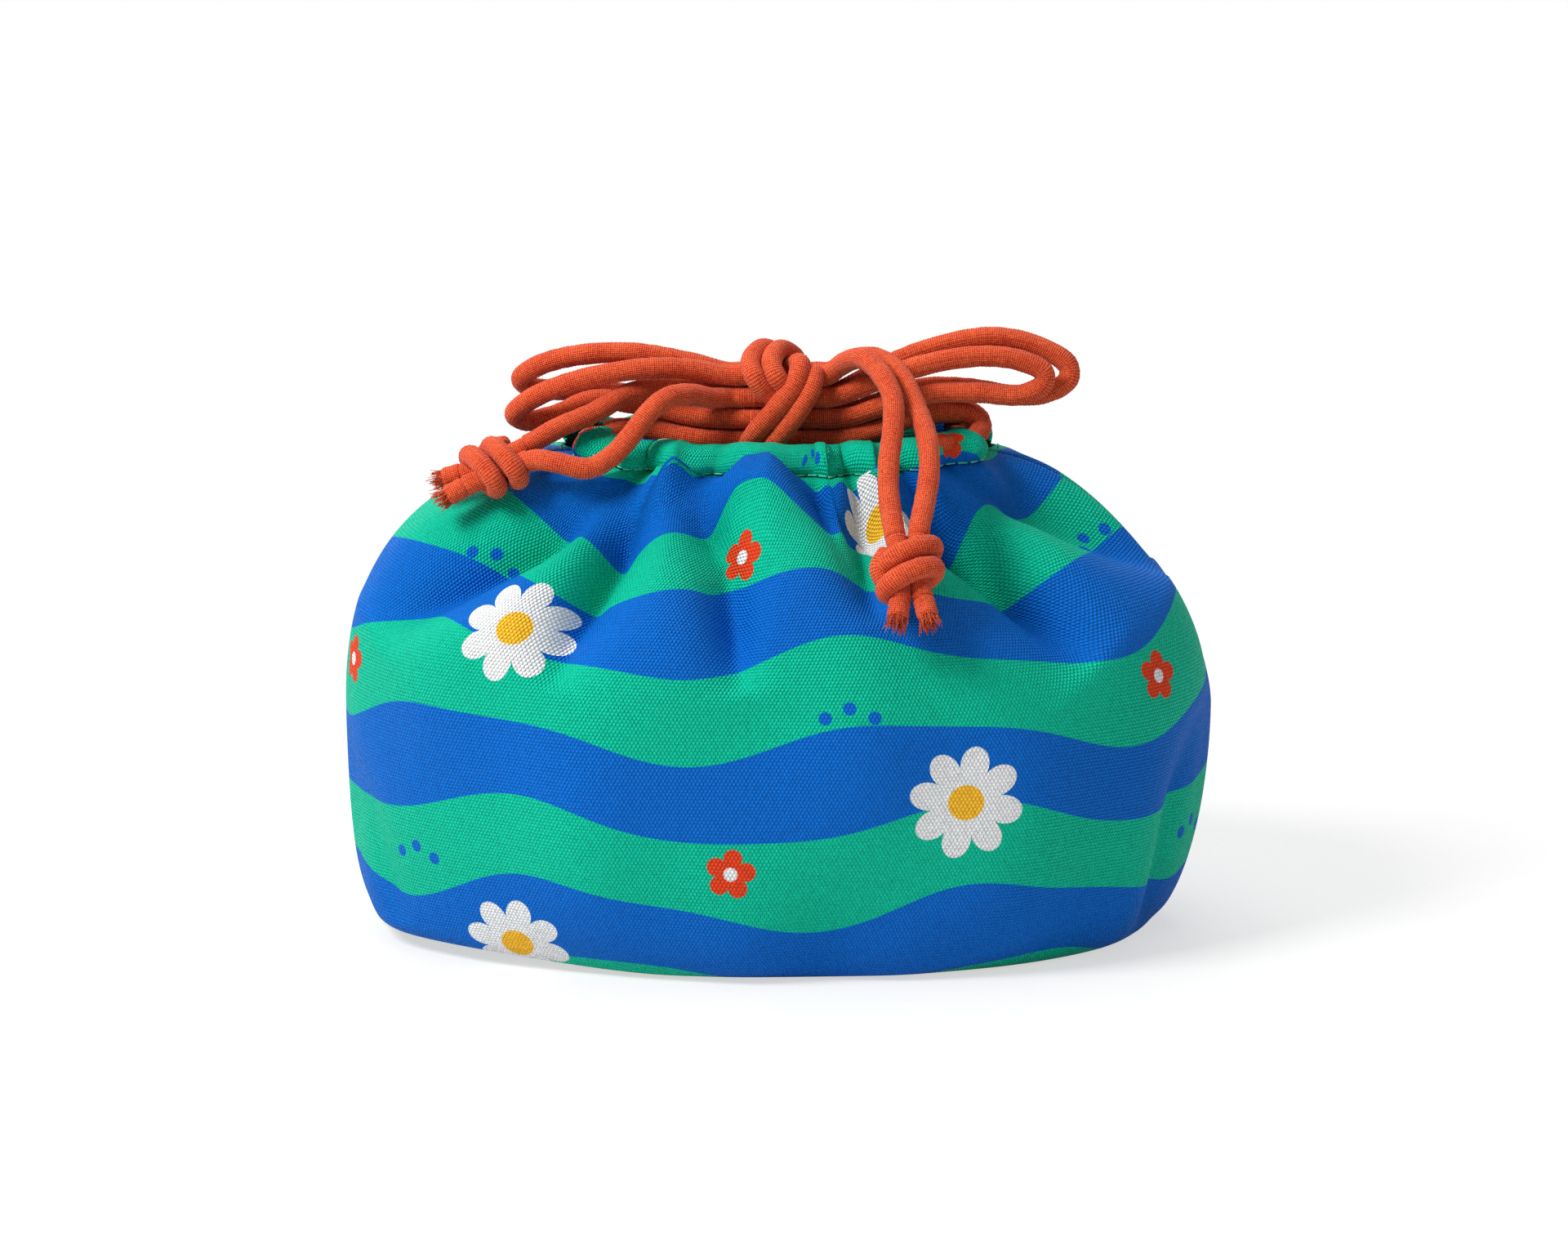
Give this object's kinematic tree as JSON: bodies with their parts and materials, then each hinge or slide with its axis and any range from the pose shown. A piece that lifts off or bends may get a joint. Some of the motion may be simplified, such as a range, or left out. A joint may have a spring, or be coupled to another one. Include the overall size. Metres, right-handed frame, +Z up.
{
  "type": "bento bag",
  "caption": "Drawstring lunch pouch of printed canvas with boxed corners, gathered at the mouth by two cotton cords tied in a bow with knotted ends.",
  "frame": {"origin": "centre of the flat base, on the surface that the pouch stands on", "axes": "+Z up, +X to the right along the side-to-side width, front towards -Y"},
  "size_m": [0.235, 0.1518, 0.1621],
  "materials": {
    "canvas": "woven cotton canvas with a printed pattern and a slight satin sheen",
    "cord": "round braided cotton, matt with short fuzz",
    "thread": "sewing thread, slight sheen"
  },
  "bodies": {
    "bag": {"front_panel": "canvas", "back_panel": "canvas", "front_casing": "canvas", "back_casing": "canvas", "front_casing_stitch": "thread", "back_casing_stitch": "thread", "left_side_seam": "canvas", "right_side_seam": "canvas", "bottom_seam": "canvas", "left_corner_seam": "canvas", "right_corner_seam": "canvas", "left_slit_tack": "thread", "right_slit_tack": "thread", "left_cord_in_casing": "cord", "right_cord_in_casing": "cord", "bow_knot": "cord", "left_lead_1": "cord", "left_lead_2": "cord", "right_lead_1": "cord", "right_lead_2": "cord"},
    "left_loops": {"left_loop_strand_1": "cord", "left_loop_strand_2": "cord"},
    "right_loops": {"right_loop_strand_1": "cord", "right_loop_strand_2": "cord"},
    "left_tail": {"left_tail_strand_1": "cord", "left_tail_strand_2": "cord", "left_stopper_knot": "cord", "left_cord_tip_1": "cord", "left_cord_tip_2": "cord"},
    "right_tail": {"right_tail_strand_1": "cord", "right_tail_strand_2": "cord", "right_stopper_knot": "cord", "right_cord_tip_1": "cord", "right_cord_tip_2": "cord"}
  },
  "joints": [
    {"name": "left_loop_swing", "type": "hinge", "parent": "bag", "child": "left_loops", "pos_m": [-0.0097, 0.0009, 0.1439], "axis": [0, 0, -1], "range_deg": [0, 22], "stiffness_Nm_per_rad": 0.002},
    {"name": "right_loop_swing", "type": "hinge", "parent": "bag", "child": "right_loops", "pos_m": [0.0097, 0.0009, 0.141], "axis": [0, 0, 1], "range_deg": [0, 22], "stiffness_Nm_per_rad": 0.002},
    {"name": "left_tail_swing", "type": "hinge", "parent": "bag", "child": "left_tail", "pos_m": [-0.0097, -0.0049, 0.1439], "axis": [0, 0, 1], "range_deg": [0, 18], "stiffness_Nm_per_rad": 0.002},
    {"name": "right_tail_swing", "type": "hinge", "parent": "bag", "child": "right_tail", "pos_m": [0.0097, -0.0049, 0.1497], "axis": [0, 0, -1], "range_deg": [0, 18], "stiffness_Nm_per_rad": 0.002}
  ]
}
